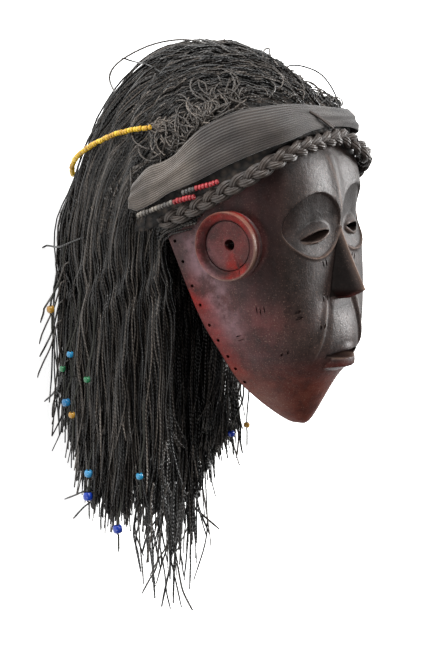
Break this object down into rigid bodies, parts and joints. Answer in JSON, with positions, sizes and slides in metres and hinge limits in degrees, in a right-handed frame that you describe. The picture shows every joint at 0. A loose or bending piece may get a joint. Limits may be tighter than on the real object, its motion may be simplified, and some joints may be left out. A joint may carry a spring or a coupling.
{
  "type": "female face mask with cord wig",
  "caption": "Carved wooden female face mask with disc ears, pierced narrow eyes, a plaited hairline, a cloth headband, glass beads and a long wig of twisted fibre cords.",
  "frame": {"origin": "middle of the bounding box at the surface that the back of the wig lies on", "axes": "+Z out of the face, +Y from the chin to the crown, +X to the mask's own left"},
  "size_m": [0.1884, 0.4963, 0.297],
  "materials": {
    "carved_wood": "dark patinated hardwood with red ochre rubbed in along the rim, jaw and ears",
    "fibre_cord": "twisted plant fibre cord, blackened and dry",
    "headband_cloth": "finely ribbed worn cotton",
    "fibre_plait": "plaited fibre rope, brown and greasy",
    "thong": "thin dark thong",
    "yellow_glass": "opaque yellow ochre seed beads",
    "red_glass": "opaque red, white and grey seed beads",
    "turquoise_glass": "turquoise glass bead",
    "green_glass": "green glass bead",
    "pale_blue_glass": "pale blue glass bead",
    "cobalt_glass": "cobalt blue glass bead"
  },
  "bodies": {
    "root": {"wooden_face": "carved_wood", "cord_wig": "fibre_cord", "cloth_headband": "headband_cloth", "forehead_plait": "fibre_plait", "band_thong": "thong", "yellow_bead_string": "yellow_glass", "temple_beads_lower": "red_glass", "temple_beads_upper": "red_glass", "hair_bead_01": "yellow_glass", "hair_bead_02": "turquoise_glass", "hair_bead_03": "green_glass", "hair_bead_04": "green_glass", "hair_bead_05": "turquoise_glass", "hair_bead_06": "yellow_glass", "hair_bead_07": "pale_blue_glass", "hair_bead_08": "cobalt_glass", "hair_bead_09": "cobalt_glass", "hair_bead_10": "turquoise_glass", "hair_bead_11": "cobalt_glass", "hair_bead_12": "yellow_glass"}
  },
  "joints": []
}
